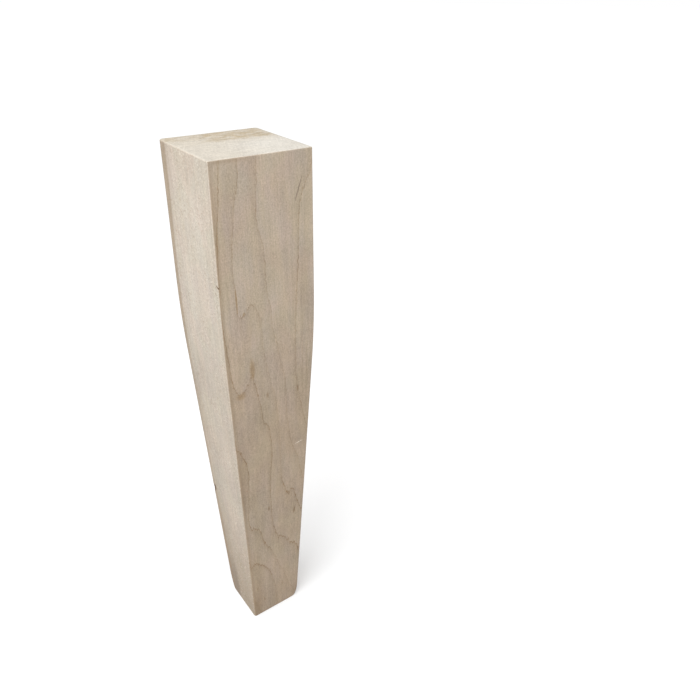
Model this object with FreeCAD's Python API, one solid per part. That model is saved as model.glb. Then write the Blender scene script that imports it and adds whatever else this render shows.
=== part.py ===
"""Tapered wooden furniture leg, sawn from one square block of maple.

The leg stands on its foot. The origin is the centre of the foot, +Z points up to the
top face, and the four faces look along X and Y. The upper part is a straight square
block. Below it a long-radius bend leads each face into a straight taper. The same
outline is sawn across the block twice, once from the front and once from the side,
so the bends and tapers meet at mitred corners. The long edges are eased by hand:
crisp on the block, and rounder towards the foot.
"""
import FreeCAD, Part
import math
import os

Vector = FreeCAD.Vector

# Overall sizes, in millimetres
leg_height = 430.0
block_width = 76.0
foot_width = 48.0

# How far the straight block reaches down from the top face, and how far the bend
# reaches above and below the height where block and taper would meet in a corner
block_length = 100.0
bend_reach = 30.0

# Radii of the long edges: along the block and bend, and at the foot
crisp_edge_round = 0.8
soft_edge_round = 2.6
front_edge_round_at_foot = 2.0
other_edge_round_at_foot = 5.0

# Width of the small bevels around the two ends
top_rim_bevel = 0.5
foot_rim_bevel = 0.8


def sawn_stretch(side):
    """The solid between one edge of the outline and its mirror, sawn both ways.

    side is an edge in the XZ plane, on the right of the middle line, drawn upwards.
    """
    bottom = side.valueAt(side.FirstParameter)
    top = side.valueAt(side.LastParameter)
    other_side = side.mirror(Vector(0, 0, 0), Vector(1, 0, 0))
    bottom_line = Part.makeLine(Vector(-bottom.x, 0, bottom.z), bottom)
    top_line = Part.makeLine(Vector(-top.x, 0, top.z), top)
    outline = Part.Face(Part.Wire(Part.__sortEdges__([side, top_line, other_side, bottom_line])))
    outline.translate(Vector(0, -block_width / 2, 0))
    sawn_from_front = outline.extrude(Vector(0, block_width, 0))
    sawn_from_side = sawn_from_front.copy()
    sawn_from_side.rotate(Vector(0, 0, 0), Vector(0, 0, 1), 90)
    return sawn_from_front.common(sawn_from_side)


def sawn_leg():
    """Block, bend and taper as one solid with sharp edges."""
    half_block = block_width / 2
    half_foot = foot_width / 2
    block_bottom = leg_height - block_length
    taper_angle = math.atan2(half_block - half_foot, block_bottom - bend_reach)
    bend_radius = bend_reach / math.tan(taper_angle / 2)

    def bend_point(angle):
        """The point of the bend where the side has turned inwards by the angle."""
        inset = bend_radius * (1 - math.cos(angle))
        drop = bend_radius * math.sin(angle)
        return Vector(half_block - inset, 0, block_bottom - drop)

    foot = Vector(half_foot, 0, 0)
    top = Vector(half_block, 0, leg_height)
    bend = Part.Arc(bend_point(taper_angle), bend_point(taper_angle / 2), bend_point(0))
    block_stretch = sawn_stretch(Part.makeLine(bend_point(0), top))
    bend_stretch = sawn_stretch(bend.toShape())
    taper_stretch = sawn_stretch(Part.makeLine(foot, bend_point(taper_angle)))
    return taper_stretch.fuse([bend_stretch, block_stretch]).removeSplitter()


def ease_long_edge(leg, side_x, side_y, round_above, round_at_foot):
    """Round the corner on the given sides, wider and wider down the taper."""
    for edge in leg.Edges:
        start = edge.valueAt(edge.FirstParameter)
        end = edge.valueAt(edge.LastParameter)
        corner_of_foot = Vector(side_x * foot_width / 2, side_y * foot_width / 2, 0)
        if start.isEqual(corner_of_foot, 0.01) and end.z > 0.01:
            return leg.makeFillet(round_at_foot, round_above, [edge])
        if end.isEqual(corner_of_foot, 0.01) and start.z > 0.01:
            return leg.makeFillet(round_above, round_at_foot, [edge])
    raise ValueError("no long edge at this corner of the foot")


def bevel_end(leg, height, bevel):
    """Bevel the rim of the end face at the given height."""
    for face in leg.Faces:
        low, high = face.BoundBox.ZMin, face.BoundBox.ZMax
        if high - low < 0.01 and abs(high - height) < 0.01:
            return leg.makeChamfer(bevel, face.Edges)
    raise ValueError("no end face at this height")


leg = sawn_leg()
leg = ease_long_edge(leg, -1, -1, crisp_edge_round, front_edge_round_at_foot)
leg = ease_long_edge(leg, 1, -1, crisp_edge_round, other_edge_round_at_foot)
leg = ease_long_edge(leg, 1, 1, soft_edge_round, other_edge_round_at_foot)
leg = ease_long_edge(leg, -1, 1, soft_edge_round, other_edge_round_at_foot)
leg = bevel_end(leg, leg_height, top_rim_bevel)
leg = bevel_end(leg, 0, foot_rim_bevel)

os.makedirs("parts", exist_ok=True)
leg.exportStep("parts/leg.step")
print("leg: valid", leg.isValid(), "solids", len(leg.Solids), "volume", round(leg.Volume))
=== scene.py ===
"""Looks of a tapered furniture leg in bare sanded maple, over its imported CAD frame.

The leg is sawn from one square block, so it is one piece here too: a finer skin of the
same form, with the small marks that the wood has picked up, and a maple material whose
growth rings run through the whole block. Lengths of the leg are millimetres, and are
turned into metres where its mesh and the camera are placed. The studio is in metres.
"""
import logging
import math
from collections.abc import Callable
from dataclasses import dataclass
from enum import Enum

import bmesh
import bpy
import numpy as np
from mathutils import Matrix, Vector


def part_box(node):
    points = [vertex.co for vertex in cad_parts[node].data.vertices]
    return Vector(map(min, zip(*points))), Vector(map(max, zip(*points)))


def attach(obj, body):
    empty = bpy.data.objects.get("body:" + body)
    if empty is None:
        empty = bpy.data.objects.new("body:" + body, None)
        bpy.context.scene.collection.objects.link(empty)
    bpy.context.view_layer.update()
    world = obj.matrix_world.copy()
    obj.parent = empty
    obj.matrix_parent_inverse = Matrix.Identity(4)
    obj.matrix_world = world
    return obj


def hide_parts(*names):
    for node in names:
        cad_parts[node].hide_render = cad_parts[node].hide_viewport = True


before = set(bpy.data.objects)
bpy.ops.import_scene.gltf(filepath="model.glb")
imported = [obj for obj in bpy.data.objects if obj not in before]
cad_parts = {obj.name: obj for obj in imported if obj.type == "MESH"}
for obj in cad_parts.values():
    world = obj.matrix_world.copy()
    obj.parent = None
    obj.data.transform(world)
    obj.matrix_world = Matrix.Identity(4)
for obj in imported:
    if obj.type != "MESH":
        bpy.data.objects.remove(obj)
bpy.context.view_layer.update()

log = logging.getLogger("leg")

MM = 0.001
IMAGE_SIDE = 700

# How squarely a face looks one way where it starts to count as that side, and where it
# counts in full
FACING = (0.35, 0.94)

# How many places are worked out at a time, which keeps the memory small
CHUNK = 20000

# Numbers of the colour sockets of a Mix node
COLOUR_BELOW, COLOUR_ABOVE, COLOUR_RESULT = 6, 7, 2

Colour = tuple[float, float, float]
Triple = tuple[float, float, float]
PerCut = tuple[float, float]


def from_display(red: float, green: float, blue: float) -> Colour:
    """Turn a colour as seen on a screen into the linear colour of a shader.

    Args:
        red: red from 0 to 255.
        green: green from 0 to 255.
        blue: blue from 0 to 255.

    Returns:
        The three linear parts, from 0 to 1.
    """
    parts = []
    for value in (red / 255, green / 255, blue / 255):
        parts.append(value / 12.92 if value <= 0.04045 else ((value + 0.055) / 1.055) ** 2.4)
    return tuple(parts)


def smooth_rise(value: np.ndarray, low: float, high: float) -> np.ndarray:
    """Rise smoothly from 0 at low to 1 at high."""
    part = np.clip((value - low) / (high - low), 0, 1)
    return part * part * (3 - 2 * part)


def in_chunks(work: Callable[[np.ndarray], np.ndarray], where: np.ndarray) -> np.ndarray:
    """Work out a value at many places, some of them at a time."""
    parts = [work(where[start:start + CHUNK]) for start in range(0, len(where), CHUNK)]
    return np.concatenate(parts)


class Corner(Enum):
    """The four long edges, by the signs of their X and Y side."""

    FRONT = (-1, -1)
    RIGHT = (1, -1)
    BACK = (1, 1)
    LEFT = (-1, 1)


@dataclass(frozen=True)
class SawnForm:
    """The form of the leg: block, long-radius bend, even taper, eased edges.

    The two overall sizes come from the frame. The others are those of the CAD source,
    apart from the last three: all corners of the foot but the front one are sanded a
    little rounder just above the floor.
    """

    leg_height: float
    block_width: float
    foot_width: float = 48.0
    block_length: float = 100.0
    bend_reach: float = 30.0
    crisp_edge_round: float = 0.8
    soft_edge_round: float = 2.6
    front_round_at_foot: float = 2.0
    other_round_at_foot: float = 5.0
    top_rim_bevel: float = 0.5
    foot_rim_bevel: float = 0.8
    foot_wear_round: float = 3.8
    foot_wear_reach: float = 22.0
    right_wear_reach: float = 12.0

    @property
    def block_bottom(self) -> float:
        """Height at which the straight block ends and the bend begins."""
        return self.leg_height - self.block_length

    @property
    def taper_angle(self) -> float:
        """How far each face leans inwards below the bend, in radians."""
        inset = (self.block_width - self.foot_width) / 2
        return math.atan2(inset, self.block_bottom - self.bend_reach)

    @property
    def bend_radius(self) -> float:
        """Radius of the bend between block and taper."""
        return self.bend_reach / math.tan(self.taper_angle / 2)

    def half_width(self, height: np.ndarray) -> np.ndarray:
        """Half the width of the leg at a height.

        Args:
            height: heights above the floor.

        Returns:
            The distance of a face from the middle line.
        """
        height = np.asarray(height, float)
        drop = self.block_bottom - height
        radius = self.bend_radius
        end = radius * math.sin(self.taper_angle)
        bend = radius - np.sqrt(radius**2 - np.clip(drop, 0, end) ** 2)
        taper = self.foot_width / 2 + height * math.tan(self.taper_angle)
        return np.where(drop < end, self.block_width / 2 - bend, taper)

    def edge_round(self, corner: Corner, height: float) -> float:
        """Radius of a long edge at a height.

        Args:
            corner: which long edge.
            height: height above the floor.

        Returns:
            The radius, which grows down the taper and again just above the foot.
        """
        front = corner is Corner.FRONT
        crisp = corner in (Corner.FRONT, Corner.RIGHT)
        above = self.crisp_edge_round if crisp else self.soft_edge_round
        at_foot = self.front_round_at_foot if front else self.other_round_at_foot
        taper_top = self.block_bottom - self.bend_radius * math.sin(self.taper_angle)
        reach = self.right_wear_reach if corner is Corner.RIGHT else self.foot_wear_reach
        worn = 0.0 if front else self.foot_wear_round * max(0.0, 1 - height / reach) ** 2
        return above + (at_foot - above) * max(0.0, 1 - height / taper_top) + worn

    def rim_inset(self, height: float) -> float:
        """How far the small bevels of the two ends pull the outline in at a height."""
        below_top = self.leg_height - height
        return max(0.0, self.top_rim_bevel - below_top, self.foot_rim_bevel - height)


@dataclass(frozen=True)
class GrainTrace:
    """One growth-ring line on the front face, read off.

    Attributes:
        ring: number of the ring, which counts up towards the bark.
        strength: how dark the line shows; 1 is plain to see.
        points: places along the line, as x and height.
    """

    ring: int
    strength: float
    points: tuple[tuple[float, float], ...]


GRAIN_TRACES: tuple[GrainTrace, ...] = (
    GrainTrace(6, 0.5, (
        (35.5, 413), (32.5, 408), (30, 403), (27.5, 395), (26, 385), (25.5, 372),
    )),
    GrainTrace(6, 0.5, (
        (25, 357), (24, 345), (22.5, 320), (21.5, 305), (21, 288), (21.5, 259), (23, 244),
        (24, 236), (26.5, 227), (28, 219), (30, 210),
    )),
    GrainTrace(5, 0.39, (
        (-5, 427), (-5.5, 413), (-6.5, 401), (-7, 391), (-6.5, 382), (-4.5, 376), (-3, 370),
        (-2, 350), (-2, 337), (0.5, 322),
    )),
    GrainTrace(5, 0.29, (
        (1.5, 307), (3, 297), (5, 291), (7.5, 276), (10, 266), (11.5, 256), (12.5, 237),
        (13, 220),
    )),
    GrainTrace(5, 0.4, (
        (14, 211), (15.5, 199), (17.5, 191), (20.5, 182), (22.5, 175), (24.5, 166), (28, 149),
    )),
    GrainTrace(4, 0.41, (
        (-18, 430), (-18.5, 416), (-20.5, 407), (-23, 397), (-24, 387), (-25.5, 376),
        (-26.5, 360), (-26.5, 350), (-25.5, 335), (-25.5, 326),
    )),
    GrainTrace(4, 0.48, (
        (-25, 320.5), (-23, 319.5), (-21.5, 322), (-19.5, 322), (-17.5, 326), (-14.5, 328.5),
        (-12, 326.5), (-10.5, 323),
    )),
    GrainTrace(4, 0.2, (
        (-9, 318), (-7.5, 312), (-7, 301), (-6.5, 288), (-5.5, 282), (-4, 275), (-2.5, 266),
        (-1, 257), (1.5, 249), (3, 240), (4.5, 227), (5.5, 212), (6, 196), (6.5, 184),
        (6.5, 171), (7, 159),
    )),
    GrainTrace(4, 1.06, (
        (8.5, 151), (10.5, 145), (11.5, 140), (13.5, 138), (14.5, 141.5), (17, 141.5),
        (19.5, 139), (20.5, 133), (22.5, 124),
    )),
    GrainTrace(3, 0.63, (
        (-30.5, 430), (-32, 416), (-33, 402), (-35, 391), (-36, 382), (-36.5, 370), (-37, 350),
    )),
    GrainTrace(3, 0.7, (
        (-36.5, 307), (-35.5, 295), (-35, 286), (-34, 277), (-32.5, 267), (-30.5, 261),
        (-28, 257), (-25.5, 257), (-22.5, 259), (-20, 263), (-18, 268), (-16.3, 271),
        (-15, 264), (-13, 254), (-11, 244), (-9.5, 232), (-8.5, 224), (-7, 221), (-4.5, 219),
    )),
    GrainTrace(3, 0.74, (
        (-3, 212), (-2, 202), (-1.5, 192), (-2, 180), (-3, 171), (-4, 161), (-4, 151),
        (-4.5, 145), (-3.5, 133), (-3, 120), (-2, 109), (0, 99),
    )),
    GrainTrace(3, 1.4, (
        (1.5, 94), (7, 90), (9.5, 86.5), (14, 79), (17, 75), (20.5, 72.5), (22.5, 68), (23, 63),
    )),
    GrainTrace(2, 1.05, (
        (-33, 208), (-30.5, 204), (-28, 197), (-25.5, 190), (-24, 181), (-23.5, 174),
    )),
    GrainTrace(2, 0.4, ((-24, 165), (-24, 155), (-24.5, 143), (-25.5, 129), (-25, 121.5))),
    GrainTrace(2, 1.5, ((-24, 115), (-20, 113), (-16.5, 111.5), (-14.5, 108), (-13.5, 101.5))),
    GrainTrace(2, 1.5, ((-11.5, 93), (-7.5, 85))),
    GrainTrace(2, 0.28, (
        (-4.5, 79), (-2.5, 70), (0.5, 65), (2.5, 56.5), (5, 49), (8, 44), (10, 33), (14, 20),
        (17, 13), (19.5, 6.5),
    )),
    GrainTrace(1, 1.3, (
        (-26.5, 70), (-24, 69.5), (-20, 69.5), (-16.5, 67), (-14, 63), (-9.5, 58), (-7, 53),
    )),
    GrainTrace(1, 0.4, ((-4.5, 43), (-2.5, 33), (-0.5, 20), (0, 8))),
    GrainTrace(0, 0.4, ((-24.5, 24), (-19, 9), (-17.5, 3))),
)


@dataclass
class GrowthRings:
    """The growth rings of the block, as one smooth field through the whole solid.

    The ring number is a whole number on each ring line. On the front face it follows
    the traces. Behind that face the rings lie one spacing apart, and towards the back
    they take a rounder course of their own.

    Attributes:
        form: the form of the leg.
        spacing: distance between two rings, straight in from the front face.
        stretch: how much shorter the leg is made before the plate is bent.
        stiffness: how stiff the plate is; 0 would go through every point.
        front_depth: how deep the traced course goes unchanged.
        trace_reach: how far around a trace its strength counts.
        open_strength: strength of a line far from every trace.
        open_weight: how strongly that value pulls.
        quiet_strength: strength of the lines on the two sides and the ends.
        back_strength: strength of the lines on the back face.
    """

    form: SawnForm
    spacing: float = 3.5
    stretch: float = 0.35
    stiffness: float = 2.0
    front_depth: float = 14.0
    trace_reach: float = 2.2
    open_strength: float = 0.35
    open_weight: float = 0.02
    quiet_strength: float = 0.42
    back_strength: float = 0.8

    def __post_init__(self) -> None:
        """Fit a thin bent plate through the traces, and keep its weights."""
        rows = [
            (x, height, trace.ring, trace.strength)
            for trace in GRAIN_TRACES
            for x, height in trace.points
        ]
        x, heights, rings, self.strengths = np.array(rows, float).T
        self.places = np.stack([x, heights * self.stretch], -1)
        lean = (self.form.block_width / 2 - self.form.half_width(heights)) / self.spacing
        count = len(rings)
        system = np.zeros((count + 3, count + 3))
        system[:count, :count] = self.plate(self.places) + self.stiffness * np.eye(count)
        system[:count, count] = 1
        system[:count, count + 1:] = self.places
        system[count, :count] = 1
        system[count + 1:, :count] = self.places.T
        self.weights = np.linalg.solve(system, np.concatenate([rings + lean, np.zeros(3)]))

    def far_from_traces(self, where: np.ndarray) -> np.ndarray:
        """Squared distance of each place from each trace point."""
        return ((where[:, None] - self.places[None]) ** 2).sum(-1)

    def plate(self, where: np.ndarray) -> np.ndarray:
        """Bending shape of the plate around each trace point, at the given places."""
        away = self.far_from_traces(where)
        return 0.5 * away * np.log(np.maximum(away, 1e-12))

    def front_course(self, where: np.ndarray) -> np.ndarray:
        """Ring number that the traces give, as if the block had no taper."""
        tilt = self.weights[-3] + where @ self.weights[-2:]
        return self.plate(where) @ self.weights[:-3] + tilt

    def back_course(self, x: np.ndarray, height: np.ndarray) -> np.ndarray:
        """Ring number towards the back: arched rings with slow waves along the leg.

        Args:
            x: places across the leg.
            height: their heights.

        Returns:
            The ring number at each place.
        """
        arch = 3.4 * ((x - 6 + 7 * np.sin(height / 95)) / 38) ** 2
        waves = 0.42 * np.sin(height / 66 + 0.6) + 0.2 * np.sin(height / 24 + x / 21)
        ripple = 0.13 * np.sin(height / 9.5 - x / 6) * np.sin(height / 33 + 1.2)
        return 3.2 + arch + waves + ripple + height / 260

    def number(self, points: np.ndarray) -> np.ndarray:
        """Ring number anywhere in the block.

        Args:
            points: places in the leg, one to a row.

        Returns:
            The ring number at each place.
        """
        x, y, height = points.T
        depth = y + self.form.block_width / 2
        deep = smooth_rise(depth, self.front_depth, self.form.block_width)
        uneven = 1.3 * np.sin((depth - self.front_depth) / 6.5) + 0.5 * np.sin(depth / 2.9)
        settled = smooth_rise(depth, self.front_depth, self.front_depth + 12)
        across = (depth + uneven * settled) / self.spacing
        front = in_chunks(self.front_course, np.stack([x, height * self.stretch], -1))
        return front * (1 - deep) + self.back_course(x, height) * deep - across

    def number_and_slopes(
        self, points: np.ndarray, facing: np.ndarray, step: float = 0.4
    ) -> tuple[np.ndarray, np.ndarray, np.ndarray]:
        """Ring number on a surface, and how fast it changes along that surface.

        Args:
            points: places on the surface, one to a row.
            facing: outward direction at each place.
            step: distance over which the change is measured.

        Returns:
            The ring number, its steepest slope and its slope up the leg, per millimetre.
        """
        slopes = []
        for axis in np.eye(3):
            ahead = self.number(points + step * axis)
            behind = self.number(points - step * axis)
            slopes.append((ahead - behind) / (2 * step))
        slope = np.stack(slopes, -1)
        slope -= (slope * facing).sum(-1, keepdims=True) * facing
        return self.number(points), np.linalg.norm(slope, axis=-1), slope[:, 2]

    def traced_strength(self, where: np.ndarray) -> np.ndarray:
        """Strength of the traces near each place of the front face.

        Args:
            where: places as x and stretched height, one to a row.

        Returns:
            The strength; 1 is plain to see.
        """
        near = np.exp(-self.far_from_traces(where) / (2 * self.trace_reach**2))
        total = near.sum(-1) + self.open_weight
        return (near @ self.strengths + self.open_weight * self.open_strength) / total

    def strength(self, points: np.ndarray) -> np.ndarray:
        """How dark a ring line shows: as traced on the front face, even on the others.

        Args:
            points: places on the surface, one to a row.

        Returns:
            The strength; 1 is plain to see.
        """
        x, y, height = points.T
        half = self.form.half_width(height)
        on_front = 1 - smooth_rise(y + half, 1.0, 5.0)
        on_back = smooth_rise(y - half, -4.0, -1.0)
        traced = in_chunks(self.traced_strength, np.stack([x, height * self.stretch], -1))
        quiet = self.quiet_strength * (1 - on_back) + self.back_strength * on_back
        return quiet * (1 - on_front) + traced * on_front


@dataclass(frozen=True)
class Gouge:
    """A torn nick across the front edge, shaped like a fingernail print."""

    height: float = 346.6
    start_drop: float = 0.9
    slant: float = 0.5
    reach: float = 3.6
    half_thickness: float = 0.8
    depth: float = 0.75
    search: float = 6.0
    shown_from: float = 0.72

    def sink(self, points: np.ndarray, half: np.ndarray) -> np.ndarray:
        """How far the surface sinks in, and where to.

        Args:
            points: places on the surface, one to a row.
            half: half the width of the leg at each place.

        Returns:
            A move for each place.
        """
        x, y, height = points.T
        from_edge = y + half
        curve = self.height - self.start_drop + self.slant * from_edge
        across = np.abs(height - curve) / self.half_thickness
        ridge = np.clip(1 - across**2, 0, 1)
        fade = 1 - smooth_rise(from_edge, self.reach * 0.45, self.reach)
        on_side = 1 - smooth_rise(x + half, 0.0, 1.0)
        amount = self.depth * ridge * fade * on_side
        return np.stack([amount, amount * 0.8, np.zeros_like(amount)], -1)


@dataclass(frozen=True)
class Dent:
    """A bruise knocked into the left edge, with a rough floor."""

    height: float = 126.0
    from_corner: float = 4.4
    half_length: float = 4.3
    slant: float = 0.7
    reach: float = 4.4
    depth: float = 0.5
    roughness: float = 0.25
    search: float = 9.0
    shown_from: float = 0.28

    def sink(self, points: np.ndarray, half: np.ndarray) -> np.ndarray:
        """How far the surface sinks in, and where to.

        Args:
            points: places on the surface, one to a row.
            half: half the width of the leg at each place.

        Returns:
            A move for each place.
        """
        x, y, height = points.T
        aside = half - y - self.from_corner
        away = np.hypot(x + half, aside)
        along = (height - self.height - self.slant * aside) / self.half_length
        bowl = np.clip(1 - along**2 - (away / self.reach) ** 2, 0, 1)
        waves = np.sin(height * 5.1 + y * 3.7) * np.sin(x * 6.3 - height * 2.2)
        amount = self.depth * np.sqrt(bowl) * bowl * (1 + self.roughness * waves)
        return np.stack([amount, -0.4 * amount, np.zeros_like(amount)], -1)


class MarkTint(Enum):
    """What a small mark in the wood is, by its colour."""

    BARK_BROWN = from_display(128, 102, 70)
    HONEY_BROWN = from_display(152, 124, 84)
    SMOKY_GREY = from_display(120, 104, 92)
    RUSTY = from_display(150, 105, 78)
    RAW_PALE = from_display(236, 226, 208)


@dataclass(frozen=True)
class Mark:
    """A small mark on the front face: a pith fleck, a streak, a soft darker patch, a scratch, or
    painted shade near the foot.
    """

    x: float
    height: float
    half_width: float
    half_height: float
    strength: float
    lean: float = 0.0
    tint: MarkTint = MarkTint.BARK_BROWN


FRONT_MARKS: tuple[Mark, ...] = (
    Mark(-30.5, 165, 6.5, 50, 0.24, lean=-0.03),
    # Painted shade: this mark and the next two darken the front face near the foot, most at its two
    # lower corners.
    Mark(-23.5, 6, 7.5, 24, 0.22, lean=-0.2),
    Mark(-22, 40, 10, 50, 0.16),
    Mark(24, 4, 8, 20, 0.3, lean=0.15),
    Mark(-33, 390, 20, 80, 0.09),
    # Painted shade: darkens the front face near the foot.
    Mark(-18, 22, 16, 26, 0.09),
    Mark(-8.5, 414, 3.8, 34, 0.1),
    Mark(31, 325, 7, 60, 0.07),
    Mark(-26.5, 255, 5, 3.6, 0.45, tint=MarkTint.HONEY_BROWN),
    Mark(-4.3, 248, 1.5, 3.2, 0.45),
    Mark(22.8, 244.5, 1, 3.6, 0.6),
    Mark(-6, 130, 1, 3.2, 0.65),
    Mark(19.2, 115, 1, 4.6, 0.75, lean=-0.12),
    Mark(-20, 37, 0.9, 2.6, 0.4),
    Mark(-13.2, 18, 1, 3.4, 0.5),
    Mark(6.1, 27.5, 1, 4, 0.3),
    Mark(-25.6, 160, 0.8, 1, 0.4, tint=MarkTint.RUSTY),
    Mark(-16.3, 275.5, 2.7, 10, 0.58, lean=0.02, tint=MarkTint.HONEY_BROWN),
    Mark(-25.6, 334, 0.8, 12, 0.65, lean=0.02, tint=MarkTint.HONEY_BROWN),
    Mark(-20.6, 322.4, 0.9, 2, 0.6, lean=-0.5, tint=MarkTint.HONEY_BROWN),
    Mark(-36, 376, 0.8, 16, 0.4, lean=-0.06, tint=MarkTint.HONEY_BROWN),
    Mark(26.2, 403.5, 0.6, 11.5, 0.7, lean=-0.36, tint=MarkTint.SMOKY_GREY),
    Mark(20.8, 170, 0.4, 6, 0.16, lean=0.05),
    Mark(23.9, 189.8, 0.45, 4.6, 0.85, lean=-6.5, tint=MarkTint.RAW_PALE),
    Mark(27, 275, 0.7, 48, 0.16),
    Mark(31, 262, 0.6, 34, 0.14),
)


@dataclass(frozen=True)
class Signal:
    """What one socket of a shader tree puts out.

    Arithmetic on it lays the Math nodes that work it out.
    """

    socket: bpy.types.NodeSocket

    @property
    def tree(self) -> bpy.types.NodeTree:
        """The tree that the socket is in."""
        return self.socket.id_data

    def math(self, operation: str, *others: "Input") -> "Signal":
        """A Math node with this signal as its first value."""
        return lay(self.tree, "Math", dict(enumerate((self, *others))), operation=operation)

    def __add__(self, other: "Input") -> "Signal":
        """The sum."""
        return self.math("ADD", other)

    def __sub__(self, other: "Input") -> "Signal":
        """The difference."""
        return self.math("SUBTRACT", other)

    def __rsub__(self, other: float) -> "Signal":
        """What is left of a number."""
        return lay(self.tree, "Math", {0: other, 1: self}, operation="SUBTRACT")

    def __mul__(self, other: "Input") -> "Signal":
        """The product."""
        return self.math("MULTIPLY", other)

    def __truediv__(self, other: "Input") -> "Signal":
        """The quotient."""
        return self.math("DIVIDE", other)

    def __abs__(self) -> "Signal":
        """The size without its sign."""
        return self.math("ABSOLUTE")

    def at_least(self, other: "Input") -> "Signal":
        """The larger of the two."""
        return self.math("MAXIMUM", other)

    def at_most(self, other: "Input") -> "Signal":
        """The smaller of the two."""
        return self.math("MINIMUM", other)

    def swing(self, reach: float = 1.0) -> "Signal":
        """A value from 0 to 1 turned into a swing of plus or minus reach."""
        return self.math("MULTIPLY_ADD", 2 * reach, -reach)

    def mapped(self, low: float, high: float, to_low: float = 0.0, to_high: float = 1.0) -> "Signal":
        """A value moved smoothly from one range to another, and held inside it."""
        values = dict(enumerate((self, low, high, to_low, to_high)))
        return lay(self.tree, "MapRange", values, interpolation_type="SMOOTHSTEP")

    def parts(self) -> tuple["Signal", ...]:
        """The three parts of a vector."""
        first = lay(self.tree, "SeparateXYZ", {0: self})
        return tuple(Signal(socket) for socket in first.socket.node.outputs)

    def stretched(self, x: float, y: float, z: float) -> "Signal":
        """A vector with each part multiplied by its own number."""
        return lay(self.tree, "VectorMath", {0: self, 1: (x, y, z)}, operation="MULTIPLY")

    def shaded(self, factor: "Signal") -> "Signal":
        """A colour made lighter or darker by a factor."""
        return lay(self.tree, "VectorMath", {0: self, "Scale": factor}, operation="SCALE")

    def noise(
        self, x: float, y: float, z: float, detail: float = 2.0, rough: float = 0.5, bend: float = 0.0
    ) -> "Signal":
        """A Noise Texture, read at this place.

        Args:
            x: how many times it turns over in a millimetre along X.
            y: the same along Y.
            z: the same up the leg.
            detail: number of finer layers.
            rough: weight of the finer layers.
            bend: how far the pattern is distorted.

        Returns:
            The noise, from 0 to 1.
        """
        values = {"Vector": self.stretched(x, y, z), "Scale": 1.0, "Detail": detail}
        values |= {"Roughness": rough, "Distortion": bend}
        return lay(self.tree, "TexNoise", values)

    def through(self, group: bpy.types.NodeTree, **values: "Input") -> dict[str, "Signal"]:
        """Send this place through an effect group.

        Args:
            group: the group.
            values: its other inputs, with underscores for spaces.

        Returns:
            Its outputs by name.
        """
        node = self.tree.nodes.new("ShaderNodeGroup")
        node.node_tree = group
        wire(node.inputs["Place"], self)
        for name, value in values.items():
            wire(node.inputs[name.replace("_", " ")], value)
        return {socket.name: Signal(socket) for socket in node.outputs}


Input = Signal | float | tuple[float, ...]


def wire(socket: bpy.types.NodeSocket, value: Input) -> None:
    """Join a socket to a signal, or set its own value where a plain one is given.

    Args:
        socket: the input.
        value: what it takes.
    """
    if isinstance(value, Signal):
        value.tree.links.new(value.socket, socket)
    elif socket.type == "RGBA":
        socket.default_value = (*value, 1.0)
    else:
        socket.default_value = value


def lay(
    tree: bpy.types.NodeTree,
    kind: str,
    values: dict[int | str, Input],
    output: int | str = 0,
    **settings: str | bool,
) -> Signal:
    """Lay a shader node.

    Args:
        tree: the tree to lay it in.
        kind: type of the node, without its first word.
        values: what its inputs take, by their number or name.
        output: number or name of the output.
        settings: the node's own settings.

    Returns:
        The output.
    """
    node = tree.nodes.new(f"ShaderNode{kind}")
    for name, setting in settings.items():
        setattr(node, name, setting)
    for key, value in values.items():
        wire(node.inputs[key], value)
    return Signal(node.outputs[output])


def mixed(share: Signal, below: Input, above: Input) -> Signal:
    """One colour laid over another by a share."""
    values = {"Factor": share, COLOUR_BELOW: below, COLOUR_ABOVE: above}
    return lay(share.tree, "Mix", values, COLOUR_RESULT, data_type="RGBA", clamp_factor=True)


def layered(colour: Signal, *layers: tuple[Signal, Input]) -> Signal:
    """A colour with others laid over it in turn.

    Args:
        colour: the lowest colour.
        layers: share and colour of each layer.

    Returns:
        The colour that shows.
    """
    for share, above in layers:
        colour = mixed(share, colour, above)
    return colour


@dataclass
class EffectGroup:
    """A shader group being built, which reads a place in millimetres and gives named values."""

    name: str

    def __post_init__(self) -> None:
        """Open the group with its two end nodes and its first input."""
        self.tree = bpy.data.node_groups.new(self.name, "ShaderNodeTree")
        self.entry = self.tree.nodes.new("NodeGroupInput")
        self.exit = self.tree.nodes.new("NodeGroupOutput")
        self.tree.interface.new_socket("Place", in_out="INPUT", socket_type="NodeSocketVector")
        self.place = Signal(self.entry.outputs["Place"])

    def takes(self, name: str, value: float = 0.0) -> Signal:
        """Add an input.

        Args:
            name: its name.
            value: what it is where nothing is joined to it.

        Returns:
            The signal that it carries inside.
        """
        item = self.tree.interface.new_socket(name, in_out="INPUT", socket_type="NodeSocketFloat")
        item.default_value = value
        return Signal(self.entry.outputs[name])

    def gives(self, **values: Signal) -> bpy.types.NodeTree:
        """Add the outputs.

        Args:
            values: what they give, by their names with underscores for spaces.

        Returns:
            The finished group.
        """
        for name, value in values.items():
            plain = name.replace("_", " ")
            self.tree.interface.new_socket(plain, in_out="OUTPUT", socket_type="NodeSocketFloat")
            wire(self.exit.inputs[plain], value)
        return self.tree


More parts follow.
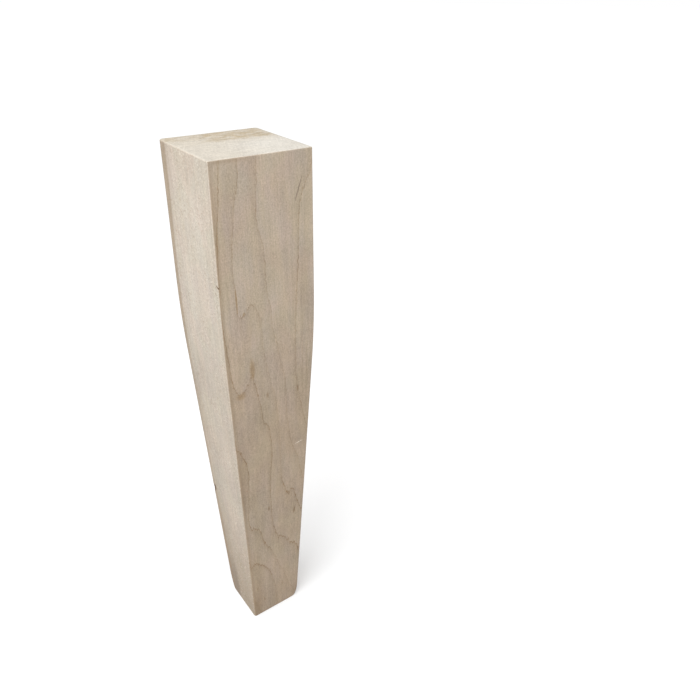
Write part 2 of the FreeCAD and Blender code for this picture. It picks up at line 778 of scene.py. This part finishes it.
@dataclass
class WoodEffects:
    """The shader groups that the wood is finished with, each built once."""

    def __post_init__(self) -> None:
        """Build all the groups."""
        self.rings = self.ring_group()
        self.fibre = self.fibre_group()
        self.rays = self.ray_group()
        self.end_grain = self.end_grain_group()
        self.mottle = self.mottle_group()
        self.mark = self.mark_group()
        self.highlight_and_shade = self.highlight_and_shade_group()

    def ring_group(self) -> bpy.types.NodeTree:
        """Growth rings: thin late-wood lines with a soft shade on their inner side.

        A line wanders a little to both sides, is ragged up the leg, and is wider and
        darker where it crosses the leg. Some rings are darker than others.

        Returns:
            The group.
        """
        group = EffectGroup("Growth rings")
        place = group.place
        number = group.takes("Ring number")
        slope = group.takes("Ring slope", 0.3).at_least(0.025)
        rise = group.takes("Ring rise")
        strength = group.takes("Strength", 1.0)
        wander = group.takes("Wander", 1.1)
        jag = group.takes("Jag", 7.0)
        uneven = group.takes("Unevenness", 1.0)
        shift = place.noise(0.6, 0.6, 0.24).swing() * wander * slope
        lift = place.noise(0.6, 0.6, 0.05, 3, 0.7).swing() * jag * rise
        shaken = number + shift + lift
        part = shaken.math("FRACT")
        line_number = (shaken + 0.5).math("FLOOR")
        mood = lay(group.tree, "TexWhiteNoise", {"W": line_number}, noise_dimensions="1D")
        pale_ring = 1 - mood.math("POWER", 2.2)
        kept = 1 - pale_ring * uneven
        above = part / slope
        below = (1 - part) / slope
        crossing = (abs(rise) / slope).mapped(0.45, 1.0)
        nearest = above.at_most(below) / (crossing * 0.6 + 1)
        patchy = place.noise(0.3, 0.3, 0.06).mapped(0.25, 0.7, 0.68, 1.0)
        shown = strength * patchy * kept * (crossing * 0.35 + 1)
        inner = below.mapped(0.0, 4.5, 1.0, 0.0)
        outer = above.mapped(0.0, 0.8, 0.5, 0.0)
        return group.gives(
            Line=nearest.mapped(0.05, 0.34, 1.3, 0.0) * shown,
            Shade=(inner * inner).at_least(outer) * shown,
            Late_wood=part.math("POWER", 3.0) * kept,
        )

    def fibre_group(self) -> bpy.types.NodeTree:
        """Fibres along the leg: long streaks, short hair-fine ones, and a height.

        Returns:
            The group.
        """
        group = EffectGroup("Fibre")
        streak = group.place.noise(1.1, 1.1, 0.022, 3, 0.6)
        hair = group.place.noise(1.5, 1.5, 0.3, 2, 0.7)
        return group.gives(
            Broad=group.place.noise(0.32, 0.32, 0.007, 2, 0.5, 0.15).swing(),
            Streak=streak.swing(),
            Hair=hair.swing(),
            Height=streak * 0.4 + hair * 0.6,
        )

    def ray_group(self) -> bpy.types.NodeTree:
        """Ray flecks: short dashes where the rays lie in the surface.

        Returns:
            The group.
        """
        group = EffectGroup("Ray flecks")
        quarter = group.takes("Quarter sawn", 1.0)
        dashes = group.place.noise(0.3, 0.5, 0.85, 2, 0.6, 0.5)
        crowd = group.place.noise(0.05, 0.05, 0.05).mapped(0.3, 0.65, 0.45, 1.0) * quarter
        return group.gives(
            Dark=dashes.mapped(0.53, 0.72) * crowd, Pale=dashes.mapped(0.47, 0.28) * crowd
        )

    def end_grain_group(self) -> bpy.types.NodeTree:
        """End grain: pores, fine rays across the rings, and faint saw lines.

        Returns:
            The group.
        """
        group = EffectGroup("End grain")
        place = group.place
        angle = {"Vector": place, "Angle": math.radians(24)}
        turned = lay(group.tree, "VectorRotate", angle, rotation_type="Z_AXIS")
        return group.gives(
            Pores=place.noise(2.6, 2.2, 1.0, 2, 0.7).mapped(0.56, 0.72),
            Grit=place.noise(0.7, 0.42, 1.0, 3, 0.75).swing(),
            Bands=place.noise(0.07, 0.4, 1.0, 3, 0.6).swing(),
            Rays=place.noise(1.5, 0.09, 1.0).swing(),
            Saw_lines=turned.noise(0.9, 0.03, 1.0, 2, 0.55).swing(),
        )

    def mottle_group(self) -> bpy.types.NodeTree:
        """Cloudy changes of tone and tint over the wood, and a fine speckle.

        Returns:
            The group.
        """
        group = EffectGroup("Mottle")
        place = group.place
        return group.gives(
            Tone=place.noise(0.055, 0.055, 0.03, 3, 0.55).swing(),
            Tint=place.noise(0.05, 0.05, 0.035, 1.5, 0.5, 0.4).mapped(0.35, 0.65),
            Warmth=place.noise(0.075, 0.075, 0.02, 4, 0.6).mapped(0.35, 0.65),
            Speckle=place.noise(0.95, 0.95, 0.85, 3, 0.8).swing(),
        )

    def mark_group(self) -> bpy.types.NodeTree:
        """One small mark: a soft-edged oval that may lean.

        Returns:
            The group.
        """
        group = EffectGroup("Wood mark")
        across, _, up = group.place.parts()
        right = across - group.takes("X")
        rise = up - group.takes("Height")
        half_width = group.takes("Half width", 1.0)
        half_height = group.takes("Half height", 1.0)
        lean = group.takes("Lean")
        strength = group.takes("Strength", 1.0)
        length = (lean * lean + 1).math("SQRT")
        wide = (rise * lean + right) / length / half_width
        tall = (rise - right * lean) / length / half_height
        away = (wide * wide + tall * tall).math("SQRT")
        shaken = away + group.place.noise(0.9, 0.9, 0.5, 3, 0.6).swing(0.27)
        return group.gives(Mask=shaken.mapped(0.35, 1.15, 1.0, 0.0) * strength)

    def highlight_and_shade_group(self) -> bpy.types.NodeTree:
        """Along the edges: a broken pale line of painted highlight, and a band of painted shade.

        Returns:
            The group.
        """
        group = EffectGroup("Edge wear")
        near = group.takes("Edge gap", 10.0) / group.takes("Width", 1.6)
        broken = group.place.noise(0.25, 0.25, 0.09, 3, 0.6).mapped(0.3, 0.6, 0.3, 1.0)
        # Painted highlight in a broken line beside each edge, and painted shade over a wider band.
        return group.gives(
            Rubbed=near.mapped(0.0, 1.0, 1.0, 0.0) * broken, Soiled=near.mapped(0.8, 2.4, 1.0, 0.0)
        )


@dataclass
class WoodSurface:
    """What the material reads at each place: where it is, how it faces, each effect there.

    Attributes:
        tree: the node tree of the material.
        effects: the shader groups.
        highlight_width: how far in from an edge the painted highlight reaches, in millimetres.
    """

    tree: bpy.types.NodeTree
    effects: WoodEffects
    highlight_width: float = 1.7

    def __post_init__(self) -> None:
        """Read the place, weigh the sides, the front and the ends, and place the groups."""
        self.place = lay(self.tree, "TexCoord", {}, "Object").stretched(1 / MM, 1 / MM, 1 / MM)
        self.x, self.y, self.height = self.place.parts()
        facing_x, facing_y, facing_z = lay(self.tree, "NewGeometry", {}, "Normal").parts()
        self.side = abs(facing_x).mapped(*FACING)
        self.front = (facing_y * -1.0).mapped(*FACING)
        self.end = abs(facing_z).mapped(*FACING)
        self.rings = self.place.through(
            self.effects.rings,
            Ring_number=self.stored("ring_number"),
            Ring_slope=self.stored("ring_slope"),
            Ring_rise=self.stored("ring_rise"),
            Strength=self.stored("ring_strength"),
            Unevenness=1 - self.front,
        )
        self.fibre = self.place.through(self.effects.fibre)
        self.mottle = self.place.through(self.effects.mottle)
        self.rays = self.place.through(self.effects.rays, Quarter_sawn=self.side)
        self.grain = self.place.through(self.effects.end_grain)
        self.highlight_and_shade = self.place.through(
            self.effects.highlight_and_shade, Edge_gap=self.stored("edge_gap"), Width=self.highlight_width
        )

    def stored(self, name: str) -> Signal:
        """A number that the mesh carries at each of its points."""
        return lay(self.tree, "Attribute", {}, "Fac", attribute_name=name)

    def by_cut(self, flat: Input, quarter: Input) -> Signal:
        """A value that is one thing on flat-sawn wood and another on the quarter-sawn sides."""
        return self.side * (quarter - flat) + flat


@dataclass(frozen=True)
class BareMaple:
    """Bare sanded maple, with no stain or varnish.

    The flat-sawn faces are browner and the quarter-sawn ones paler, partly in the wood and
    partly as painted shade on the flat-sawn faces and painted light on the quarter-sawn
    ones. The end grain is palest, as on the real leg. Each pair of numbers says how much of
    an effect shows on flat-sawn wood and on quarter-sawn wood.
    """

    # Painted light and shade: the flat-sawn colour is partly painted shade, the quarter-sawn colour
    # partly painted light.
    flat_sawn_shaded: Colour = from_display(183, 165, 146)
    quarter_sawn_lit: Colour = from_display(205, 194, 180)
    ray_fleck: Colour = from_display(166, 140, 112)
    end_grain: Colour = from_display(197, 189, 176)
    late_wood: Colour = from_display(130, 102, 66)
    warm_shade: Colour = from_display(150, 128, 102)
    dull_shade: Colour = from_display(120, 104, 92)
    pink_tint: Colour = from_display(204, 180, 166)
    green_tint: Colour = from_display(186, 184, 160)
    straw_tint: Colour = from_display(198, 180, 144)
    grey_tint: Colour = from_display(186, 176, 170)
    # Painted highlight: this pale colour draws the highlight along the eased edges, and also the pale
    # ray flecks.
    pale_and_highlight: Colour = from_display(226, 216, 200)
    heart_stain: Colour = from_display(170, 152, 122)
    bleached: Colour = from_display(212, 208, 200)
    torn: Colour = from_display(110, 84, 56)
    tint_share: PerCut = (0.16, 0.18)
    warmth_share: PerCut = (0.17, 0.11)
    line_share: PerCut = (0.82, 0.24)
    streak_share: PerCut = (0.175, 0.14)
    broad_share: PerCut = (0.1, 0.1)
    hair_share: PerCut = (0.26, 0.205)
    tone_share: PerCut = (0.2, 0.16)
    speckle_share: PerCut = (0.42, 0.345)
    roughness: float = 0.66
    specular: float = 0.28
    bump_strength: float = 0.35
    bump_height: float = 0.06

    def material(self, effects: WoodEffects) -> bpy.types.Material:
        """Build the material.

        Args:
            effects: the shader groups.

        Returns:
            The finished material.
        """
        material = bpy.data.materials.new("bare_maple_sanded")
        material.use_nodes = True
        shader = material.node_tree.nodes["Principled BSDF"]
        at = WoodSurface(material.node_tree, effects)
        colour = self.back_edge_band(at, self.marked_colour(at, self.wood_colour(at)))
        tone = at.fibre["Streak"] * at.by_cut(*self.streak_share) + 1
        tone += at.fibre["Broad"] * at.by_cut(*self.broad_share)
        tone += at.fibre["Hair"] * at.by_cut(*self.hair_share)
        tone += at.mottle["Tone"] * at.by_cut(*self.tone_share)
        tone += at.mottle["Speckle"] * at.by_cut(*self.speckle_share)
        colour = mixed(at.end, colour.shaded(tone), self.end_colour(at))
        wire(shader.inputs["Base Color"], self.highlight_shade_and_torn_colour(at, colour))
        rough = at.fibre["Streak"] * 0.05 - at.rays["Pale"] * 0.12 + at.end * 0.12
        wire(shader.inputs["Roughness"], rough + self.roughness)
        wire(shader.inputs["Specular IOR Level"], self.specular)
        sanding = at.place.noise(1.2, 1.2, 0.5, 3, 0.65)
        relief = {"Strength": self.bump_strength, "Distance": self.bump_height * MM}
        relief["Height"] = sanding * 0.35 + at.fibre["Height"] + at.rings["Line"] * 0.35
        wire(shader.inputs["Normal"], lay(at.tree, "Bump", relief))
        return material

    def wood_colour(self, at: WoodSurface) -> Signal:
        """Colour of the long faces, with their cloudy tints, growth rings and ray flecks, and
        painted shade that darkens them on the taper and towards the foot.

        Args:
            at: what is read from the surface.

        Returns:
            The colour.
        """
        # Painted shade: the long faces are mixed towards warm_shade on the taper and towards the
        # foot; the sides are also a little darker near the top.
        on_taper = at.height.mapped(345, 215)
        side_ends = at.height.mapped(150, 0, 0.0, 0.5) + at.height.mapped(385, 425, 0.0, 0.1)
        painted_shade_side = on_taper * 0.17 + side_ends
        painted_shade_flat = on_taper * 0.38 + at.height.mapped(60, 20, 0.0, 0.1)
        tint = mixed(at.mottle["Tint"], self.green_tint, self.pink_tint)
        warmth = mixed(at.mottle["Warmth"], self.grey_tint, self.straw_tint)
        return layered(
            mixed(at.side, self.flat_sawn_shaded, self.quarter_sawn_lit),
            (at.by_cut(*self.tint_share), tint),
            (at.by_cut(*self.warmth_share), warmth),
            (at.by_cut(painted_shade_flat, painted_shade_side), self.warm_shade),
            (at.rings["Late wood"] * 0.13, self.warm_shade),
            (at.rings["Shade"] * 0.26, self.warm_shade),
            (at.rings["Line"] * at.side.mapped(0.2, 0.9, *self.line_share), self.late_wood),
            (at.rays["Dark"] * 0.55, self.ray_fleck),
            (at.rays["Pale"] * 0.6, self.pale_and_highlight),
        )

    def marked_colour(self, at: WoodSurface, colour: Signal) -> Signal:
        """The colour with the small marks of the front face on it.

        Args:
            at: what is read from the surface.
            colour: colour so far.

        Returns:
            The colour.
        """
        for mark in FRONT_MARKS:
            mask = at.place.through(
                at.effects.mark, X=mark.x, Height=mark.height, Half_width=mark.half_width,
                Half_height=mark.half_height, Lean=mark.lean, Strength=mark.strength,
            )["Mask"]
            colour = mixed(mask * at.front, colour, mark.tint.value)
        return colour

    def back_edge_band(self, at: WoodSurface, colour: Signal) -> Signal:
        """A brown band along the back edge of the left face, and painted shade in its corner at the
        foot.

        A narrow strip follows the edge. Beside it a wide soft band fades out, which shows
        most at both ends and at one blotch on the taper. The band is partly the wood and partly
        painted shade of the rounded back edge; its growth towards the foot is painted shade.

        Args:
            at: what is read from the surface.
            colour: colour so far.

        Returns:
            The colour with the band laid over.
        """
        on_left = at.x.mapped(-10, -20) * at.side
        gap = at.stored("back_gap")
        wave = at.place.noise(0.12, 0.12, 0.018, 3, 0.55).swing(4.0)
        wavy_gap = gap + wave
        high = at.height.mapped(330, 415)
        upper = at.height.mapped(240, 290)
        # Painted shade: low strengthens the strip and the band towards the foot.
        low = at.height.mapped(150, 90)
        reach = high * 2.4 + low * 2.4 + wave * 0.25 + 7.7
        strip_share = upper * 0.2 + low * 0.2 + 0.46
        strip = (gap - reach).mapped(-1.6, 1.6, 1.0, 0.0) * strip_share
        blotch_height = 212
        blotch = abs(at.height - blotch_height).mapped(10, 36, 0.22, 0.0)
        wide_share = low * 0.22 + high * 0.16 + blotch + 0.14
        brown = strip.at_least(wavy_gap.mapped(4, 24, 1.0, 0.0) * wide_share)
        # Painted shade: the corner by the back edge near the foot is mixed towards dull_shade.
        corner = (wavy_gap - at.height.mapped(80, 40, 0.0, 20.0)).mapped(-4.0, 4.0, 1.0, 0.0)
        corner *= at.height.mapped(80, 5, 0.0, 0.58)
        return layered(
            colour, (corner * on_left, self.dull_shade), (brown * on_left, self.warm_shade)
        )

    def end_colour(self, at: WoodSurface) -> Signal:
        """Colour of the two ends: pale end grain, and brown heart wood at the back.

        The stain has a darker rim and blots in it, and the wood is bleached towards the
        right corner.

        Args:
            at: what is read from the surface.

        Returns:
            The colour.
        """
        cloud = at.place.noise(0.07, 0.11, 0.02, 5, 0.7).swing(14.0)
        beyond = (at.y + cloud - at.x * 0.08).mapped(4.5, 14.0)
        right = (at.x + cloud).mapped(-17, -4, 0.15, 1.0)
        patch = beyond * right * at.x.mapped(37.5, 33.0, 0.35, 1.0)
        rear = (at.y + cloud).mapped(8, 34, 0.0, 0.75)
        rim = abs(beyond - 0.55).mapped(0.0, 0.4, 0.35, 0.0)
        blots = at.place.noise(0.16, 0.3, 0.02, 3, 0.6).mapped(0.3, 0.7, 0.3, 1.55)
        stain = (patch.at_least(rear) + rim * right) * blots
        white = at.x.mapped(-25, 20) * at.y.mapped(12, -10)
        colour = layered(
            mixed(white * 0.5, self.end_grain, self.bleached),
            (stain * 0.54, self.heart_stain),
            (at.rings["Late wood"] * 0.1, self.heart_stain),
            (at.rings["Line"] * 0.2, self.late_wood),
            (at.grain["Pores"] * 0.2, self.late_wood),
        )
        tone = at.grain["Rays"] * 0.1 + at.grain["Bands"] * 0.2 + at.grain["Saw lines"] * 0.12
        return colour.shaded(tone + at.grain["Grit"] * 0.36 + at.mottle["Tone"] * 0.1 + 1)

    def highlight_shade_and_torn_colour(self, at: WoodSurface, colour: Signal) -> Signal:
        """The colour with a painted highlight along the edges, painted shade on the front face
        beside the front edge, and torn wood in the marks.

        Args:
            at: what is read from the surface.
            colour: colour so far.

        Returns:
            The colour.
        """
        # Painted highlight along the edges, weaker on the front face and on the ends.
        pale_and_highlight = at.end.mapped(0.2, 0.9, 0.3, 0.1) - at.front * 0.24
        # Painted shade: the front face is darkened just beside the front edge, on its left half.
        front_edge_shade = at.highlight_and_shade["Soiled"] * at.front * at.x.mapped(-5, -20)
        return layered(
            colour,
            (at.highlight_and_shade["Rubbed"] * pale_and_highlight, self.pale_and_highlight),
            (front_edge_shade * 0.36, self.warm_shade),
            (at.stored("torn"), self.torn),
        )


@dataclass
class MapleLeg:
    """The leg: its skin, its marks, and the growth rings that run through it.

    Attributes:
        form: the form of the leg.
        rings: its growth rings.
        gouge: the nick across the front edge.
        dent: the dent in the left edge.
        arc_steps: steps around half of a long edge's rounding.
        side_steps: steps across the flat of a face.
        support_gap: width of the close rows beside a rounding or a bevel.
        level_gap: height of one row of quads.
        finer: cuts of each edge near a mark, and share of its search that they reach.
    """

    form: SawnForm
    rings: GrowthRings
    gouge: Gouge = Gouge()
    dent: Dent = Dent()
    arc_steps: int = 3
    side_steps: int = 48
    support_gap: float = 0.4
    level_gap: float = 1.5
    finer: tuple[tuple[int, float], ...] = ((2, 1.0), (1, 0.62))

    @property
    def across_steps(self) -> int:
        """Number of quads across one face, with its two half corners."""
        return self.side_steps + 2 * (self.arc_steps + 1)

    def levels(self) -> list[float]:
        """Heights of the rows of points, with a few close ones at the two rims.

        Returns:
            The heights, from the floor up.
        """
        form = self.form
        foot_rim = form.foot_rim_bevel
        top_rim = form.leg_height - form.top_rim_bevel
        first, last = foot_rim + self.support_gap, top_rim - self.support_gap
        count = round((last - first) / self.level_gap)
        between = np.linspace(first, last, count + 1).tolist()
        return [0.0, foot_rim, *between, top_rim, form.leg_height]

    def along_face(
        self, index: float, half: float, start_round: float, end_round: float
    ) -> tuple[float, float]:
        """Place on one face of the outline, seen from outside with the face level.

        Args:
            index: number of steps from the middle of the first corner.
            half: half the width of the leg.
            start_round: radius of the first corner.
            end_round: radius of the second corner.

        Returns:
            The place along the face and its distance in from the face.
        """
        steps = self.across_steps
        if index > steps / 2:
            along, inset = self.along_face(steps - index, half, end_round, start_round)
            return -along, inset
        if index < self.arc_steps:
            angle = math.radians(45) * (1 - index / self.arc_steps)
            return -half + start_round * (1 - math.sin(angle)), start_round * (1 - math.cos(angle))
        start = -half + start_round
        first = start + self.support_gap
        if index < self.arc_steps + 1:
            return start + (index - self.arc_steps) * self.support_gap, 0.0
        last = half - end_round - self.support_gap
        share = (index - self.arc_steps - 1) / self.side_steps
        return first + share * (last - first), 0.0

    def outline(self, column: float, row: float, height: float) -> tuple[float, float]:
        """Place of a grid point of the leg's outline at a height.

        Args:
            column: grid column, from 0 at the -X side.
            row: grid row, from 0 at the -Y side.
            height: height above the floor.

        Returns:
            Its X and Y.
        """
        form = self.form
        inset = form.rim_inset(height)
        half = float(form.half_width(height)) - inset
        rounds = {corner: max(form.edge_round(corner, height) - inset, 0.1) for corner in Corner}
        edge = 1e-6
        if row < edge:
            along, depth = self.along_face(column, half, rounds[Corner.FRONT], rounds[Corner.RIGHT])
            return along, -half + depth
        if row > self.across_steps - edge:
            along, depth = self.along_face(column, half, rounds[Corner.LEFT], rounds[Corner.BACK])
            return along, half - depth
        if column < edge:
            along, depth = self.along_face(row, half, rounds[Corner.FRONT], rounds[Corner.LEFT])
            return -half + depth, along
        along, depth = self.along_face(row, half, rounds[Corner.RIGHT], rounds[Corner.BACK])
        return half - depth, along

    def build(self) -> bpy.types.Object:
        """Shape the skin, carve its marks and store what the material reads.

        Returns:
            The leg as one object at the origin.
        """
        levels = self.levels()
        steps = self.across_steps
        skin = bmesh.new()
        bmesh.ops.create_grid(skin, x_segments=steps, y_segments=steps, size=1.0)
        sheet = skin.verts[:] + skin.edges[:] + skin.faces[:]
        grown = bmesh.ops.extrude_face_region(skin, geom=sheet, use_keep_orig=True)["geom"]
        lifted = [part for part in grown if isinstance(part, bmesh.types.BMVert)]
        bmesh.ops.translate(skin, verts=lifted, vec=(0, 0, 1))
        upright = [edge for edge in skin.edges if abs(edge.verts[0].co.z - edge.verts[1].co.z) > 0.5]
        bmesh.ops.subdivide_edges(skin, edges=upright, cuts=len(levels) - 2, use_grid_fill=False)
        self.place_points(skin, levels)
        bmesh.ops.recalc_face_normals(skin, faces=skin.faces[:])
        self.carve(skin)
        for face in skin.faces:
            face.smooth = True
        mesh = bpy.data.meshes.new("maple_leg")
        skin.to_mesh(mesh)
        skin.free()
        leg = bpy.data.objects.new("maple_leg", mesh)
        bpy.context.scene.collection.objects.link(leg)
        self.store_wood(mesh)
        return leg

    def place_points(self, skin: bmesh.types.BMesh, levels: list[float]) -> None:
        """Slide the points of the plain block to their place on the sawn form.

        Args:
            skin: the subdivided block, from -1 to 1 across and 0 to 1 high.
            levels: height of each row of points.
        """
        last = len(levels) - 1
        middle = self.across_steps / 2
        known: dict[tuple[float, float, int], tuple[float, float]] = {}
        for point in skin.verts:
            column = round((point.co.x + 1) * middle)
            row = round((point.co.y + 1) * middle)
            level = round(point.co.z * last)
            share = max(abs(column - middle), abs(row - middle)) / middle
            if share == 0:
                point.co = (0, 0, levels[level] * MM)
                continue
            out_column = middle + (column - middle) / share
            out_row = middle + (row - middle) / share
            key = (round(out_column, 3), round(out_row, 3), level)
            if key not in known:
                known[key] = self.outline(out_column, out_row, levels[level])
            x, y = known[key]
            point.co = (x * share * MM, y * share * MM, levels[level] * MM)

    def carve(self, skin: bmesh.types.BMesh) -> None:
        """Cut the nick and the dent into the skin, after making it finer there.

        Args:
            skin: the finished form, which gets a value named torn on each point.
        """
        torn = skin.verts.layers.float.new("torn")
        for mark, corner in ((self.gouge, Corner.FRONT), (self.dent, Corner.LEFT)):
            wide = float(self.form.half_width(mark.height))
            side_x, side_y = corner.value
            centre = Vector((side_x * wide, side_y * wide, mark.height)) * MM
            for cuts, share in self.finer:
                reach = mark.search * share * MM
                near = {point for point in skin.verts if (point.co - centre).length < reach}
                edges = [edge for edge in skin.edges if near.issuperset(edge.verts)]
                bmesh.ops.subdivide_edges(skin, edges=edges, cuts=cuts, use_grid_fill=True)
            points = [point for point in skin.verts if (point.co - centre).length < mark.search * MM]
            places = np.array([point.co for point in points]) / MM
            moves = mark.sink(places, self.form.half_width(places[:, 2]))
            sunk = np.linalg.norm(moves, axis=-1) / mark.depth
            shown = smooth_rise(sunk, 0.0, mark.shown_from)
            for point, move, tint in zip(points, moves, shown):
                point.co += Vector(move) * MM
                point[torn] = tint
            log.info("%s: %d points moved", type(mark).__name__, int((sunk > 0.01).sum()))

    def store_wood(self, mesh: bpy.types.Mesh) -> None:
        """Store the ring number and the other values that the material reads.

        Args:
            mesh: the finished skin.
        """
        read = {}
        for name in ("co", "normal"):
            flat = np.empty(len(mesh.vertices) * 3)
            mesh.vertices.foreach_get(name, flat)
            read[name] = flat.reshape(-1, 3)
        points = read["co"] / MM
        number, slope, rise = self.rings.number_and_slopes(points, read["normal"])
        x, y, height = points.T
        half = self.form.half_width(height)
        from_end = np.minimum(height, self.form.leg_height - height)
        gaps = np.sort(np.stack([half - np.abs(x), half - np.abs(y), from_end], -1), axis=-1)
        values = {
            "ring_number": number,
            "ring_slope": slope,
            "ring_rise": rise,
            "ring_strength": self.rings.strength(points),
            "edge_gap": gaps[:, 1],
            "back_gap": half - y,
        }
        for name, value in values.items():
            attribute = mesh.attributes.new(name, "FLOAT", "POINT")
            attribute.data.foreach_set("value", value.astype(np.float32))


class LampKind(Enum):
    """A square panel near the leg, or an even light from far away."""

    PANEL = "AREA"
    WIDE = "SUN"


@dataclass(frozen=True)
class Lamp:
    """One soft lamp of the studio.

    Attributes:
        name: its name.
        kind: what kind of lamp it is.
        place: where it hangs.
        aim: what it points at.
        spread: side of a panel, or angle of a wide light in degrees.
        power: how strongly it shines.
        colour: its colour.
    """

    name: str
    kind: LampKind
    place: Triple
    aim: Triple
    spread: float
    power: float
    colour: Colour = (1.0, 1.0, 1.0)

    def build(self) -> None:
        """Hang the lamp, turned to what it lights."""
        lamp = bpy.data.lights.new(self.name, self.kind.value)
        if self.kind is LampKind.PANEL:
            lamp.shape = "SQUARE"
            lamp.size = self.spread
        else:
            lamp.angle = math.radians(self.spread)
        lamp.energy = self.power
        lamp.color = self.colour
        holder = bpy.data.objects.new(self.name, lamp)
        bpy.context.scene.collection.objects.link(holder)
        turn = (Vector(self.aim) - Vector(self.place)).to_track_quat("-Z", "Y")
        holder.matrix_world = Matrix.Translation(self.place) @ turn.to_matrix().to_4x4()


@dataclass
class Studio:
    """Plain pale floor, soft lamps and an even sky, which the camera sees white."""

    floor_radius: float = 20.0
    floor_colour: Colour = (0.7, 0.7, 0.7)
    floor_glow: float = 0.31
    sky_strength: float = 0.28
    sky_seen: float = 1.0
    lamps: tuple[Lamp, ...] = (
        Lamp("ceiling_of_light", LampKind.WIDE, (-0.6, -0.35, 3.4), (0, 0, 0.2), 45.0, 2.5),
        Lamp(
            "near_key", LampKind.PANEL, (-0.42, -0.26, 0.86), (0, 0, 0.36), 0.4, 2.6,
            colour=(0.96, 0.99, 1.03),
        ),
    )

    def build(self) -> None:
        """Lay the floor, hang the lamps and light the sky."""
        floor_mesh = bpy.data.meshes.new("floor")
        sheet = bmesh.new()
        bmesh.ops.create_circle(sheet, cap_ends=True, segments=96, radius=self.floor_radius)
        sheet.to_mesh(floor_mesh)
        sheet.free()
        floor = bpy.data.objects.new("floor", floor_mesh)
        bpy.context.scene.collection.objects.link(floor)
        floor.data.materials.append(self.floor_material())
        for lamp in self.lamps:
            lamp.build()
        world = bpy.data.worlds.new("even_sky")
        world.use_nodes = True
        background = world.node_tree.nodes["Background"]
        background.inputs["Color"].default_value = (1.0, 1.0, 1.0, 1.0)
        seen = lay(world.node_tree, "LightPath", {}, "Is Camera Ray")
        brighter = self.sky_seen - self.sky_strength
        wire(background.inputs["Strength"], seen * brighter + self.sky_strength)
        bpy.context.scene.world = world
        bpy.context.scene.view_settings.view_transform = "Standard"
        log.info("studio ready")

    def floor_material(self) -> bpy.types.Material:
        """Plain pale paper, lit a little from below like a light table.

        Returns:
            The material.
        """
        material = bpy.data.materials.new("pale_floor")
        material.use_nodes = True
        shader = material.node_tree.nodes["Principled BSDF"]
        wire(shader.inputs["Base Color"], self.floor_colour)
        wire(shader.inputs["Roughness"], 0.9)
        wire(shader.inputs["Specular IOR Level"], 0.1)
        wire(shader.inputs["Emission Color"], (1.0, 1.0, 1.0))
        wire(shader.inputs["Emission Strength"], self.floor_glow)
        return material


@dataclass(frozen=True)
class PhotoCamera:
    """The camera of the reference photograph, fitted to the edges of the leg.

    Attributes:
        place: where it stands.
        ahead: the way it looks.
        right: the way that is right in the picture.
        focal_pixels: focal length, in pixels of the picture.
        centre_row: row that it looks at straight on, brought near the middle so that
            views from other sides hold the whole leg.
        sensor: width of the sensor.
    """

    place: Triple = (-205.48, -410.64, 527.16)
    ahead: Triple = (0.52345, 0.70436, -0.47945)
    right: Triple = (0.80711, -0.59024, 0.01407)
    focal_pixels: float = 659.1
    centre_row: float = 340.0
    sensor: float = 36.0

    def build(self) -> None:
        """Make the camera and set it as the scene's own."""
        lens = bpy.data.cameras.new("photo_camera")
        lens.sensor_width = self.sensor
        lens.lens = self.focal_pixels * self.sensor / IMAGE_SIDE
        lens.shift_y = (self.centre_row - IMAGE_SIDE / 2) / IMAGE_SIDE
        lens.clip_start = 0.01
        lens.clip_end = 100
        camera = bpy.data.objects.new("photo_camera", lens)
        bpy.context.scene.collection.objects.link(camera)
        back = -Vector(self.ahead).normalized()
        right = Vector(self.right)
        right = (right - right.dot(back) * back).normalized()
        turn = Matrix((right, back.cross(right), back)).transposed()
        camera.matrix_world = Matrix.Translation(Vector(self.place) * MM) @ turn.to_4x4()
        bpy.context.scene.camera = camera


def main() -> None:
    """Build the leg, the studio and the camera, and report each piece."""
    logging.basicConfig(level=logging.INFO, format="%(message)s")
    low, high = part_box("leg")
    width, _, height = (round((top - bottom) / MM, 2) for top, bottom in zip(high, low))
    form = SawnForm(leg_height=height, block_width=width)
    leg = MapleLeg(form, GrowthRings(form)).build()
    leg.data.materials.append(BareMaple().material(WoodEffects()))
    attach(leg, "root")
    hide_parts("leg")
    log.info("leg: %d points, %d faces", len(leg.data.vertices), len(leg.data.polygons))
    Studio().build()
    PhotoCamera().build()


if __name__ == "__main__":
    main()
